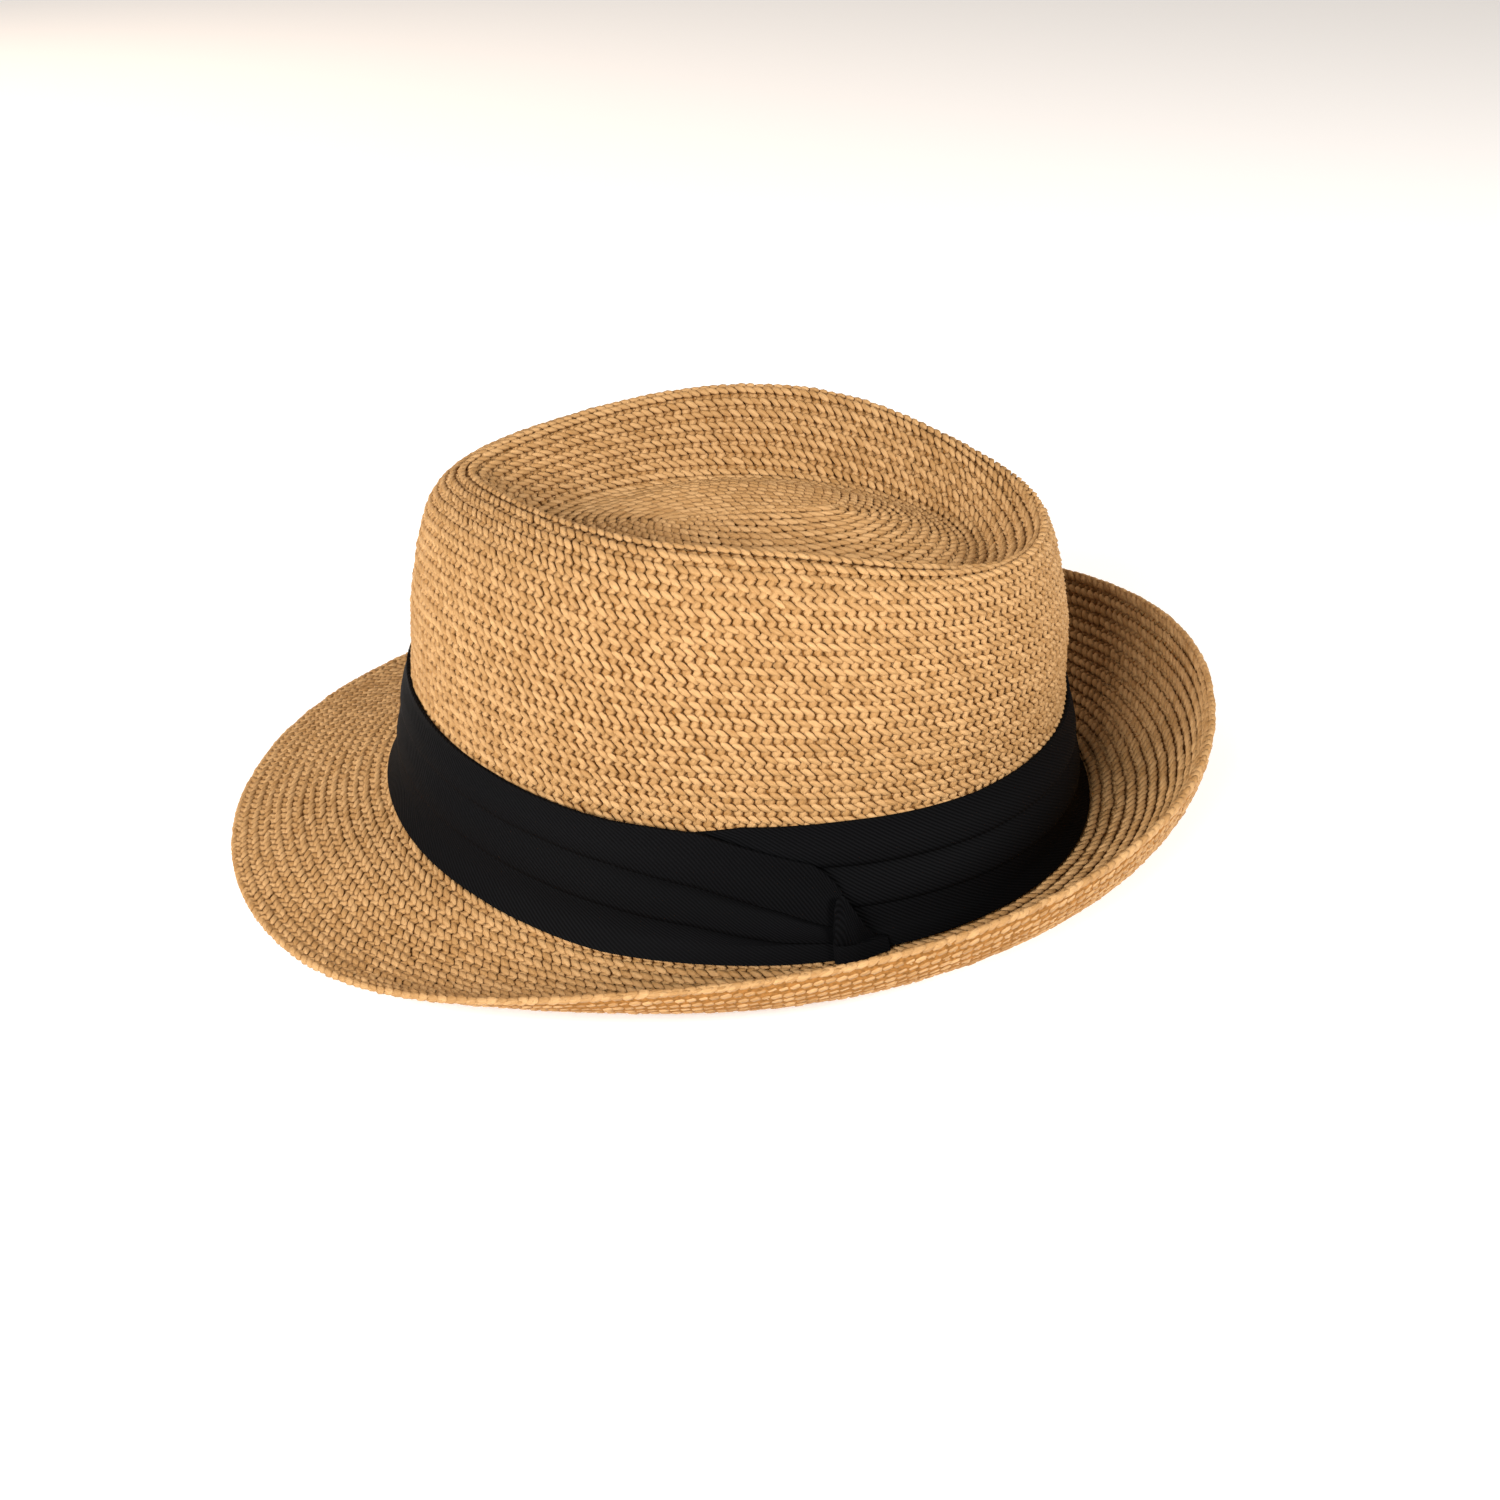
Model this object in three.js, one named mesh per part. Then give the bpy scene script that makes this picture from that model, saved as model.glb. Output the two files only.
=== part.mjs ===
// Straw trilby: a knitted paper-straw hat with a teardrop dent in its crown, a brim that dips in
// front and turns up round the sides and back, and a pleated black cotton band with a small tuck.
// Millimetres, +Z up, the front towards -Y and the wearer's left towards +X. It rests on its brim.
import * as THREE from "three";

// Head oval: the outside of the straw where crown and brim would meet in a sharp corner
const HEAD_FRONT = 101.6; // from the middle of the oval to its front
const HEAD_BACK = 99.3;
const HEAD_SIDE = 85.7;
const HEAD_SIDE_DIP = 12; // how far the oval lies lower at the sides than in front
const HEAD_BACK_DIP = 7.9;
const CORNER_RUN = 3; // length of wall and of brim that the rounded corner takes up

// Straw wall, and the running gap between pieces that touch
const STRAW = 2;
const GAP = 0.3;

// Crown: heights of its crest above the head oval, and depths of the dent below the crest
const CREST_FRONT = 86.3;
const CREST_SIDE = 104.3;
const CREST_BACK = 86.5;
const DENT_FRONT = 14;
const DENT_SIDE = 21;
const DENT_BACK = 11;

// Brim: widths along the straw, from the head oval to the edge
const BRIM_FRONT = 52.5;
const BRIM_SIDE = 53;
const BRIM_BACK = 55.7;

// Band: a flat strip laid in three pleats, each lapping over the one below
const BAND_HEIGHT = 35.5;
const CLOTH = 1.2;
const PLEAT_LAP = 0.8; // how far the lower edge of a pleat stands out
const PLEAT_FOLD = 0.012; // height of a pleat's turned edge, as a share of the band's height
const HEM_RAISED = 0.5; // share of its lower crease where a hem lies that clears the corner
const HEM_EASE = 0.4; // share of its own height further up where a raised hem lies flat again
const LOW_INSIDE = 0.8; // shares of the lower crease where the lowest pleat has its points
const LOW_OUTSIDE = 0.85;
const LOW_LAP = 0.4; // share of the lap that the lowest pleat has at its outside point

// Tuck that wraps the end of the band
const TUCK_CLOTH = 1.3;
const TUCK_BEND = -0.65; // height where its lower half bends, down the rounded corner as below 0

// Rings of the crown from the head oval to the line where the knitting starts. front, back and side
// are shares of the head oval. A ring lies at band shares of the band's height, plus rise shares of
// what the crest stands above the band, less sink shares of the dent, each for front, side, back.
// Where a ring has no bow of its own, its height bows from the side to both ends as a square.
const CROWN_RINGS = [
  {
    at: "head", front: 1, back: 1, side: 1, square: 2.14,
    pinch: 0, band: 0, rise: [0, 0, 0], sink: [0, 0, 0],
  },
  {
    at: "band", front: 0.941, back: 0.94, side: 0.939, square: 2.14,
    pinch: 0, band: 1, rise: [0, 0, 0], sink: [0, 0, 0],
  },
  {
    at: "wall", front: 0.923, back: 0.926, side: 0.914, square: 2.05,
    pinch: 0, band: 1, rise: [0.45, 0.43, 0.5], sink: [0, 0, 0],
  },
  {
    at: "shoulder", front: 0.857, back: 0.844, side: 0.841, square: 2,
    pinch: 0.12, band: 1, rise: [0.9, 0.86, 1], sink: [0, 0, 0],
  },
  {
    at: "crest", front: 0.76, back: 0.803, side: 0.72, square: 2,
    pinch: 0.46, band: 1, rise: [1, 1, 1], sink: [0, 0, 0.46],
  },
  {
    at: "dent side", front: 0.68, back: 0.755, side: 0.636, square: 2,
    pinch: 0.48, band: 1, rise: [1, 1, 1], sink: [0.38, 0.42, 0.73],
  },
  {
    at: "dent foot", front: 0.571, back: 0.685, side: 0.537, square: 2,
    pinch: 0.5, band: 1, rise: [1, 1, 1], sink: [1, 1, 1],
  },
  {
    at: "dent floor", front: 0.394, back: 0.453, side: 0.28, square: 2,
    pinch: 0.3, band: 1, rise: [1, 1, 1], sink: [1, 0.82, 0.2],
  },
  {
    at: "start line", front: 0.187, back: 0.247, side: 0, square: 2,
    pinch: 0, band: 1, rise: [1, 1, 1], sink: [0.92, 0.7, -0.1], bow: 1,
  },
];
const BAND_RING = CROWN_RINGS.findIndex((ring) => ring.at === "band");
const START_RING = CROWN_RINGS.length - 1;

// Slope of the brim in degrees, up for a positive one, where it leaves the crown and at its edge
const BRIM_SLOPES = [
  { at: "front", start: -16.3, edge: -16.3 },
  { at: "front quarter", start: -27.7, edge: 12.7 },
  { at: "side", start: -19.5, edge: 65.9 },
  { at: "back quarter", start: 3.3, edge: 75.9 },
  { at: "back", start: 4.8, edge: 90.1 },
];

// Course of the band, in degrees round the head from the front by the wearer's left. It starts under
// its own end, goes round by the back, and comes over its start to the tuck. top, upper and lower are
// shares of the band's height: its top edge and its two creases. lift is the share of a whole layer
// that the strip runs over, lap the share of the pleat lap that is left where it is gathered, and
// foot how far the lower edge reaches down the rounded corner to the brim.
const BAND_COURSE = [
  { turn: 84, top: 0.84, upper: 0.66, lower: 0.36, lift: 0, lap: 0.5, foot: 0 },
  { turn: 90, top: 0.93, upper: 0.68, lower: 0.35, lift: 0, lap: 0.7, foot: 0 },
  { turn: 96, top: 0.985, upper: 0.68, lower: 0.34, lift: 0, lap: 1, foot: 0 },
  { turn: 110, top: 1, upper: 0.67, lower: 0.34, lift: 0, lap: 1, foot: 0 },
  { turn: 114, top: 1, upper: 0.66, lower: 0.33, lift: 0, lap: 1, foot: 1 },
  { turn: 138, top: 0.965, upper: 0.63, lower: 0.31, lift: 0, lap: 1, foot: 1 },
  { turn: 180, top: 0.955, upper: 0.62, lower: 0.31, lift: 0, lap: 1, foot: 1 },
  { turn: 360, top: 0.955, upper: 0.65, lower: 0.33, lift: 0, lap: 1, foot: 1 },
  { turn: 414, top: 0.955, upper: 0.65, lower: 0.32, lift: 0, lap: 1, foot: 1 },
  { turn: 426, top: 0.955, upper: 0.65, lower: 0.31, lift: 0.35, lap: 1, foot: 1 },
  { turn: 438, top: 0.96, upper: 0.63, lower: 0.29, lift: 1, lap: 1, foot: 1 },
  { turn: 444, top: 0.965, upper: 0.59, lower: 0.26, lift: 1, lap: 1, foot: 1 },
  { turn: 450, top: 0.955, upper: 0.54, lower: 0.23, lift: 1, lap: 1, foot: 1 },
  { turn: 456, top: 0.86, upper: 0.45, lower: 0.17, lift: 1, lap: 1, foot: 1 },
  { turn: 462, top: 0.77, upper: 0.36, lower: 0.12, lift: 1, lap: 0.9, foot: 1 },
  { turn: 467, top: 0.7, upper: 0.26, lower: 0.1, lift: 1, lap: 0.8, foot: 1 },
  { turn: 470, top: 0.55, upper: 0.21, lower: 0.09, lift: 1, lap: 0.7, foot: 1 },
  { turn: 472, top: 0.4, upper: 0.2, lower: 0.09, lift: 1, lap: 0.6, foot: 1 },
];

// Sections of the tuck across its width: the top edge as a share of the band's height, the layers of
// band that it lies over, and the share of its own thickness
const TUCK_SECTIONS = [
  { turn: 109.6, top: 0.22, layers: 2, thick: 0.7 },
  { turn: 110.3, top: 0.42, layers: 2, thick: 0.9 },
  { turn: 111, top: 0.47, layers: 2, thick: 1 },
  { turn: 112.8, top: 0.32, layers: 1.95, thick: 1 },
  { turn: 114.6, top: 0.17, layers: 1.5, thick: 1 },
  { turn: 116.4, top: 0.09, layers: 1.15, thick: 1 },
  { turn: 118, top: -0.15, layers: 1, thick: 0.8 },
];

// Fineness of the meshes
const MERIDIANS = 60;
const CROWN_ROWS = [2, 2, 2, 4, 3, 2, 2, 2]; // spans between one crown ring and the next
const BRIM_ROWS = 11;
const CORNER_ROWS = [0.35, 0.65, 1]; // shares of the rounded corner where it has a row

const STRAW_COLOUR = 0xd8a66e;
const BAND_COLOUR = 0x17171a;

const degrees = THREE.MathUtils.degToRad;

// A value that runs smoothly from its front value over its side value to its back value.
function roundHead([front, side, back], angle, bow = 2) {
  const forward = Math.cos(angle);
  return side + (forward > 0 ? front - side : back - side) * Math.abs(forward) ** bow;
}

// A squarish oval in plan, narrowed towards the front by its pinch.
function oval({ front, back, side, square, pinch }, angle) {
  const forward = Math.cos(angle);
  const left = Math.sin(angle);
  const power = 2 / square;
  const length = forward > 0 ? HEAD_FRONT * front : HEAD_BACK * back;
  const narrowed = 1 - pinch * Math.max(forward, 0) ** 2;
  return new THREE.Vector3(
    HEAD_SIDE * side * narrowed * Math.sign(left) * Math.abs(left) ** power,
    -length * Math.sign(forward) * Math.abs(forward) ** power,
    0,
  );
}

function ringPoint(ring, angle) {
  const point = oval(ring, angle);
  const head = roundHead([0, -HEAD_SIDE_DIP, -HEAD_BACK_DIP], angle, ring.bow);
  const crest = [CREST_FRONT, CREST_SIDE, CREST_BACK];
  const dent = [DENT_FRONT, DENT_SIDE, DENT_BACK];
  const heights = crest.map((top, i) => ring.rise[i] * (top - BAND_HEIGHT) - ring.sink[i] * dent[i]);
  point.z = head + ring.band * BAND_HEIGHT + roundHead(heights, angle, ring.bow);
  return point;
}

// A point of the crown's outside, place running from 0 on the head oval to the last ring's number.
function crownPoint(angle, place) {
  const rings = CROWN_RINGS.map((ring) => ringPoint(ring, angle));
  return new THREE.CatmullRomCurve3(rings, false, "centripetal").getPoint(place / START_RING);
}

// A smooth value between equal steps from front to back, the same on both sides of the hat.
function betweenStations(values, angle) {
  const fromFront = Math.acos(THREE.MathUtils.clamp(Math.cos(angle), -1, 1)) / Math.PI;
  const place = fromFront * (values.length - 1);
  const first = Math.min(Math.floor(place), values.length - 2);
  const last = values.length - 1;
  const [before, from, to, after] = [first - 1, first, first + 1, first + 2].map(
    (i) => values[i < 0 ? -i : i > last ? 2 * last - i : i],
  );
  const share = place - first;
  return (
    from +
    0.5 * share * (to - before + share * (2 * before - 5 * from + 4 * to - after +
      share * (3 * from - before - 3 * to + after)))
  );
}

// A point of the brim's top, run millimetres along the straw from the head oval.
function brimPoint(angle, run) {
  const start = degrees(betweenStations(BRIM_SLOPES.map((row) => row.start), angle));
  const edge = degrees(betweenStations(BRIM_SLOPES.map((row) => row.edge), angle));
  const bend = (edge - start) / brimWidth(angle);
  const slope = start + bend * run;
  const straight = Math.abs(bend) < 1e-5;
  const out = straight ? run * Math.cos(start) : (Math.sin(slope) - Math.sin(start)) / bend;
  const up = straight ? run * Math.sin(start) : (Math.cos(start) - Math.cos(slope)) / bend;
  const point = ringPoint(CROWN_RINGS[0], angle);
  const step = degrees(1);
  const along = oval(CROWN_RINGS[0], angle + step).sub(oval(CROWN_RINGS[0], angle - step)).normalize();
  point.x += along.y * out;
  point.y -= along.x * out;
  point.z += up;
  return point;
}

function brimWidth(angle) {
  return betweenStations([BRIM_FRONT, BRIM_FRONT, BRIM_SIDE, BRIM_BACK, BRIM_BACK], angle);
}

// The rounded corner between crown and brim, share 0 on the crown's wall and 1 on the brim.
const CORNER_PLACE = CORNER_RUN / BAND_HEIGHT;
function cornerPoint(angle, share) {
  const wall = crownPoint(angle, CORNER_PLACE);
  const head = crownPoint(angle, 0);
  const brim = brimPoint(angle, CORNER_RUN);
  return new THREE.QuadraticBezierCurve3(wall, head, brim).getPoint(share);
}

// A point of a surface moved out along the surface's normal, the normal taken by small steps.
function offsetPoint(surface, angle, place, placeStep, distance) {
  const turnStep = degrees(0.5);
  const round = surface(angle + turnStep, place).sub(surface(angle - turnStep, place));
  const up = surface(angle, place + placeStep).sub(surface(angle, place - placeStep));
  return surface(angle, place).addScaledVector(round.cross(up).normalize(), distance);
}
const crownOffset = (angle, place, distance) => offsetPoint(crownPoint, angle, place, 0.01, distance);
const brimOffset = (angle, run, distance) => offsetPoint(brimPoint, angle, run, -0.1, distance);
const cornerOffset = (angle, share, distance) => offsetPoint(cornerPoint, angle, share, -0.01, distance);

// A closed mesh through sections that all have the same number of points. A section is a closed
// outline if closed is set, and the sections close on themselves if round is set. A closed outline
// that isn't swept round has ends, which join its inner half to its outer half like a ladder.
function sweep(sections, { closed, round }) {
  const size = sections[0].length;
  const indices = [];
  const sectionCount = sections.length;
  for (let s = 0; s < (round ? sectionCount : sectionCount - 1); s++) {
    for (let p = 0; p < (closed ? size : size - 1); p++) {
      const here = s * size + p;
      const next = s * size + ((p + 1) % size);
      const ahead = ((s + 1) % sectionCount) * size + p;
      const aheadNext = ((s + 1) % sectionCount) * size + ((p + 1) % size);
      indices.push(here, aheadNext, ahead, here, next, aheadNext);
    }
  }
  for (let rung = 0; closed && !round && rung < size / 2 - 1; rung++) {
    const across = size - 1 - rung;
    const end = (sectionCount - 1) * size;
    indices.push(rung, across - 1, rung + 1, rung, across, across - 1);
    indices.push(end + rung, end + rung + 1, end + across - 1, end + rung, end + across - 1, end + across);
  }
  const geometry = new THREE.BufferGeometry();
  geometry.setAttribute(
    "position",
    new THREE.Float32BufferAttribute(sections.flat().flatMap((point) => point.toArray()), 3),
  );
  geometry.setIndex(indices);
  geometry.computeVertexNormals();
  return geometry;
}

const meridianAngles = Array.from({ length: MERIDIANS }, (_, i) => (2 * Math.PI * i) / MERIDIANS);

// Crown: one wall from the start line over the crest and down to the corner, and back up inside.
function crownGeometry() {
  const places = [CORNER_PLACE];
  CROWN_ROWS.forEach((count, ring) => {
    for (let i = 1; i <= count; i++) places.push(ring + i / count);
  });
  const topDown = [...places].reverse();
  const sections = meridianAngles.map((angle) => {
    const outside = topDown.map((place) => crownPoint(angle, place));
    const inside = places.map((place) =>
      place === START_RING
        ? crownPoint(angle, place).add(new THREE.Vector3(0, 0, -STRAW))
        : crownOffset(angle, place, -STRAW),
    );
    return [...outside, ...inside];
  });
  return sweep(sections, { closed: false, round: true });
}

// Brim: the rest of the rounded corner and the brim, with its underside a wall thickness below.
function brimGeometry() {
  const gapShare = GAP / (2 * CORNER_RUN);
  const corner = [gapShare, ...CORNER_ROWS.slice(0, -1)];
  const sections = meridianAngles.map((angle) => {
    const runs = Array.from({ length: BRIM_ROWS + 1 }, (_, i) =>
      CORNER_RUN + ((brimWidth(angle) - CORNER_RUN) * i) / BRIM_ROWS,
    );
    const top = [
      ...corner.map((share) => cornerPoint(angle, share)),
      ...runs.map((run) => brimPoint(angle, run)),
    ];
    const under = [
      ...corner.map((share) => cornerOffset(angle, share, -STRAW)),
      ...runs.map((run) => brimOffset(angle, run, -STRAW)),
    ];
    return [...top, ...under.reverse()];
  });
  return sweep(sections, { closed: true, round: true });
}

// The band's course at one turn, between the rows of its table.
function bandCourse(turn) {
  const next = Math.max(1, BAND_COURSE.findIndex((row) => row.turn >= turn - 1e-6));
  const [from, to] = [BAND_COURSE[next - 1], BAND_COURSE[next]];
  const share = (turn - from.turn) / (to.turn - from.turn);
  return Object.fromEntries(Object.keys(from).map((key) => [key, from[key] + (to[key] - from[key]) * share]));
}

const LAYER = CLOTH + PLEAT_LAP + GAP; // what one layer of pleated band takes up, with its gap

// A point over the straw of the wall or of the rounded corner: height is a share of the band's, and
// below 0 it runs on as minus the share of the corner.
function bandPoint(angle, { height, distance }) {
  if (height < 0) return cornerOffset(angle, -height, distance);
  return crownOffset(angle, Math.max(height, CORNER_PLACE) * BAND_RING, distance);
}

// The lower edge of cloth that stands out from the straw by some distance: it meets the brim that
// much further out, a gap above it.
function footPoint(angle, distance) {
  return brimOffset(angle, CORNER_RUN + distance - GAP, GAP);
}

// One section of the band, up its inside and down its outside over the lower edges of the pleats.
function bandSection(turn) {
  const { top, upper, lower, lift, lap, foot } = bandCourse(turn);
  const angle = degrees(turn);
  const inner = GAP + lift * LAYER;
  const outer = inner + CLOTH;
  const proud = outer + lap * PLEAT_LAP;
  const lowest = CORNER_PLACE + (1 - foot) * lower * HEM_RAISED;
  const down = (share) => (foot > 0 ? -share * foot : lowest * (1 + HEM_EASE - HEM_EASE * share));
  const hem = foot > 0 ? footPoint(angle, inner) : bandPoint(angle, { height: lowest, distance: outer });
  const places = [
    { height: down(CORNER_ROWS[1]), distance: inner },
    { height: down(CORNER_ROWS[0]), distance: inner },
    { height: lower * LOW_INSIDE, distance: inner },
    { height: lower, distance: inner },
    { height: upper, distance: inner },
    { height: top - PLEAT_FOLD, distance: inner },
    { height: top, distance: (inner + outer) / 2 },
    { height: top - PLEAT_FOLD, distance: outer },
    { height: (top + upper) / 2, distance: (outer + proud) / 2 },
    { height: upper + PLEAT_FOLD, distance: proud },
    { height: upper, distance: outer },
    { height: (upper + lower) / 2, distance: (outer + proud) / 2 },
    { height: lower + PLEAT_FOLD, distance: proud },
    { height: lower, distance: outer },
    { height: lower * LOW_OUTSIDE, distance: outer + (proud - outer) * LOW_LAP },
  ];
  return [hem, ...places.map((place) => bandPoint(angle, place))];
}

// Band: one strip from its hidden start round the head and over itself to its end.
function bandGeometry() {
  const step = 360 / MERIDIANS;
  const first = BAND_COURSE[0].turn;
  const last = BAND_COURSE[BAND_COURSE.length - 1].turn;
  const turns = new Set(BAND_COURSE.map((row) => row.turn));
  for (let turn = first; turn < last; turn += step) turns.add(turn);
  return sweep([...turns].sort((a, b) => a - b).map(bandSection), { closed: true, round: false });
}

// Tuck: a small three-cornered wrap of the same cloth over the end of the band.
function tuckGeometry() {
  const sections = TUCK_SECTIONS.map(({ turn, top, layers, thick }) => {
    const inner = GAP + layers * LAYER;
    const outer = inner + thick * TUCK_CLOTH;
    const angle = degrees(turn);
    const corner = (top + TUCK_BEND) / 2;
    const wall = [
      { height: corner, distance: inner },
      { height: top, distance: inner },
      { height: top, distance: outer },
      { height: corner, distance: outer },
    ];
    return [footPoint(angle, inner), ...wall.map((place) => bandPoint(angle, place)), footPoint(angle, outer)];
  });
  return sweep(sections, { closed: true, round: false });
}

function namedMesh(name, geometry, color, roughness) {
  const mesh = new THREE.Mesh(geometry, new THREE.MeshStandardMaterial({ color, roughness, metalness: 0 }));
  mesh.name = name;
  return mesh;
}

const hat = new THREE.Group();
hat.add(namedMesh("crown", crownGeometry(), STRAW_COLOUR, 0.6));
hat.add(namedMesh("brim", brimGeometry(), STRAW_COLOUR, 0.6));
hat.add(namedMesh("hatband", bandGeometry(), BAND_COLOUR, 0.85));
hat.add(namedMesh("band_tuck", tuckGeometry(), BAND_COLOUR, 0.85));

// The hat stands on the floor, with the middle of its plan at the origin.
const reach = new THREE.Box3().setFromObject(hat, true);
hat.position.set(-(reach.min.x + reach.max.x) / 2, -(reach.min.y + reach.max.y) / 2, -reach.min.z);

const trilby = new THREE.Group();
trilby.add(hat);
export default trilby;
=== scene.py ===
import math

import bpy
import numpy as np
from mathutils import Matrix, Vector
from mathutils.kdtree import KDTree


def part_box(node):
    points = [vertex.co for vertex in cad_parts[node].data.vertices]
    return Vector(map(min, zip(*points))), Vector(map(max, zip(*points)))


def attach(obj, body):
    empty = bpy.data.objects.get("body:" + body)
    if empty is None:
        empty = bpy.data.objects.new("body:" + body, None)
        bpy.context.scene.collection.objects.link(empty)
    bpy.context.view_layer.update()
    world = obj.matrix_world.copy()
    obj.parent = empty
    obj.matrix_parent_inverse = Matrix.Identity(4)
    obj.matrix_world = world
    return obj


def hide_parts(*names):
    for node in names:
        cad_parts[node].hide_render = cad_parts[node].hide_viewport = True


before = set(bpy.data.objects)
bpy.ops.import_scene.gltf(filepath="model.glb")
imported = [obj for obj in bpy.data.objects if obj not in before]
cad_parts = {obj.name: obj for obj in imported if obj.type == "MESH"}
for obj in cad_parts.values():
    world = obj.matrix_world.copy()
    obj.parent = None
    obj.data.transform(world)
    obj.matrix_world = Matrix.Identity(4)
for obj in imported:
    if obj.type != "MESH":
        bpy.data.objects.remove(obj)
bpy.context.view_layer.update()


# Camera, floor and light
# The hat stands alone on a pale seamless floor. Three soft white lamps stand round its left side
# and a weak warm one at its front right. The camera sees its left side, a little from behind.
VIEW_TURN = 98.24
VIEW_TILT = 29.42
VIEW_DISTANCE = 0.5756
VIEW_TARGET = Vector((0.00777, 0.01151, 0.02156))
LENS_MM = 46.86
SENSOR_MM = 36
NEAREST_SEEN = 0.01
FLOOR_SIZE = 6
FLOOR_ROUGHNESS = 0.6
FLOOR_COLOUR = (0.95, 0.945, 0.94, 1)
FLOOR_GLOW_COLOUR = (1, 0.99, 0.98, 1)
FLOOR_GLOW = 0.23
LIGHT_DISTANCE = 1.6
LIGHT_SIZE = 0.5
LIGHTS = [
    dict(name="front_left_light", turn=50, tilt=28, watts=19, colour=(1, 1, 1)),
    dict(name="left_light", turn=74, tilt=25, watts=19, colour=(1, 1, 1)),
    dict(name="back_left_light", turn=160, tilt=28, watts=26, colour=(1, 1, 1)),
    dict(name="front_right_light", turn=320, tilt=28, watts=6.5, colour=(1, 0.74, 0.54)),
]
ROOM_COLOUR = (1, 0.9, 0.8, 1)
ROOM_LIGHT = 0.35


def way_out(turn, tilt):
    """The way from the hat at degrees round it from its front and degrees above the floor."""
    turn, tilt = math.radians(turn), math.radians(tilt)
    return Vector((
        math.sin(turn) * math.cos(tilt),
        -math.cos(turn) * math.cos(tilt),
        math.sin(tilt),
    ))


def faced(thing, away):
    """Turns a camera or a light to look back along its way out."""
    thing.rotation_mode = "QUATERNION"
    thing.rotation_quaternion = (-away).to_track_quat("-Z", "Y")


away = way_out(VIEW_TURN, VIEW_TILT)
bpy.ops.object.camera_add(location=VIEW_TARGET + away * VIEW_DISTANCE)
camera = bpy.context.object
camera.name = "camera"
faced(camera, away)
camera.data.lens = LENS_MM
camera.data.sensor_width = SENSOR_MM
camera.data.clip_start = NEAREST_SEEN
bpy.context.scene.camera = camera


def new_finish(name, roughness, gloss=0.5):
    """A new material with its roughness and gloss set, and its shader to build on."""
    material = bpy.data.materials.new(name)
    material.use_nodes = True
    shader = material.node_tree.nodes["Principled BSDF"]
    shader.inputs["Roughness"].default_value = roughness
    shader.inputs["Specular IOR Level"].default_value = gloss
    return material, shader


bpy.ops.mesh.primitive_plane_add(size=FLOOR_SIZE)
floor = bpy.context.object
floor.name = "floor"
floor_paint, floor_shader = new_finish("pale_floor", FLOOR_ROUGHNESS)
floor_shader.inputs["Base Color"].default_value = FLOOR_COLOUR
floor_shader.inputs["Emission Color"].default_value = FLOOR_GLOW_COLOUR
floor_shader.inputs["Emission Strength"].default_value = FLOOR_GLOW
floor.data.materials.append(floor_paint)

for lamp in LIGHTS:
    away = way_out(lamp["turn"], lamp["tilt"])
    bpy.ops.object.light_add(type="AREA", location=away * LIGHT_DISTANCE)
    light = bpy.context.object
    light.name = lamp["name"]
    faced(light, away)
    light.data.size = LIGHT_SIZE
    light.data.energy = lamp["watts"]
    light.data.color = lamp["colour"]

room = bpy.data.worlds.new("white_room")
room.use_nodes = True
room.node_tree.nodes["Background"].inputs["Color"].default_value = ROOM_COLOUR
room.node_tree.nodes["Background"].inputs["Strength"].default_value = ROOM_LIGHT
bpy.context.scene.world = room
bpy.context.scene.view_settings.view_transform = "Standard"


# Ground of the crown
# The whole hat is one spiral of machine-knitted paper straw, begun at a short line in the dent and
# blocked on a wooden crown. This is the thin ground that shows between its stitches, coloured
# darker than the strands as painted shade in the gaps.
HEAD_FRONT = 0.1016
HEAD_BACK = 0.0993
HEAD_SIDE = 0.0857
HEAD_SIDE_DIP = 0.012
HEAD_BACK_DIP = 0.0079
CORNER_RUN = 0.003
CREST = (0.0863, 0.1043, 0.0865)
DENT = (0.014, 0.021, 0.011)
BAND_HEIGHT = 0.0355

# The crown ring by ring from the head line up: its reach in front, behind and to the side as
# shares of the head line's, how square and how pinched in front it is, whether it stands on the
# band's height, and the shares of the crest's rise and the dent's sink in front, side and back.
CROWN_RINGS = [
    dict(at="head", front=1, back=1, side=1, square=2.14, pinch=0,
         band=0, rise=(0, 0, 0), sink=(0, 0, 0)),
    dict(at="band", front=0.941, back=0.94, side=0.939, square=2.14, pinch=0,
         band=1, rise=(0, 0, 0), sink=(0, 0, 0)),
    dict(at="wall", front=0.923, back=0.926, side=0.914, square=2.05, pinch=0,
         band=1, rise=(0.45, 0.43, 0.5), sink=(0, 0, 0)),
    dict(at="shoulder", front=0.857, back=0.844, side=0.841, square=2, pinch=0.12,
         band=1, rise=(0.9, 0.86, 1), sink=(0, 0, 0)),
    dict(at="crest", front=0.76, back=0.803, side=0.72, square=2, pinch=0.46,
         band=1, rise=(1, 1, 1), sink=(0, 0, 0.46)),
    dict(at="dent side", front=0.68, back=0.755, side=0.636, square=2, pinch=0.48,
         band=1, rise=(1, 1, 1), sink=(0.38, 0.42, 0.73)),
    dict(at="dent foot", front=0.571, back=0.685, side=0.537, square=2, pinch=0.5,
         band=1, rise=(1, 1, 1), sink=(1, 1, 1)),
    dict(at="dent floor", front=0.394, back=0.453, side=0.28, square=2, pinch=0.3,
         band=1, rise=(1, 1, 1), sink=(1, 0.82, 0.2)),
    dict(at="start line", front=0.187, back=0.247, side=0, square=2, pinch=0,
         band=1, rise=(1, 1, 1), sink=(0.92, 0.7, -0.1), bow=1),
]
CREST_RING = 4
START_RING = len(CROWN_RINGS) - 1

# The brim's slope in degrees at its corner and at its edge, and its width, in five even steps
# from front to back.
BRIM_START_SLOPES = (-16.3, -27.7, -19.5, 3.3, 4.8)
BRIM_EDGE_SLOPES = (-16.3, 12.7, 65.9, 75.9, 90.1)
BRIM_WIDTHS = (0.0525, 0.0525, 0.053, 0.0557, 0.0557)

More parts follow.
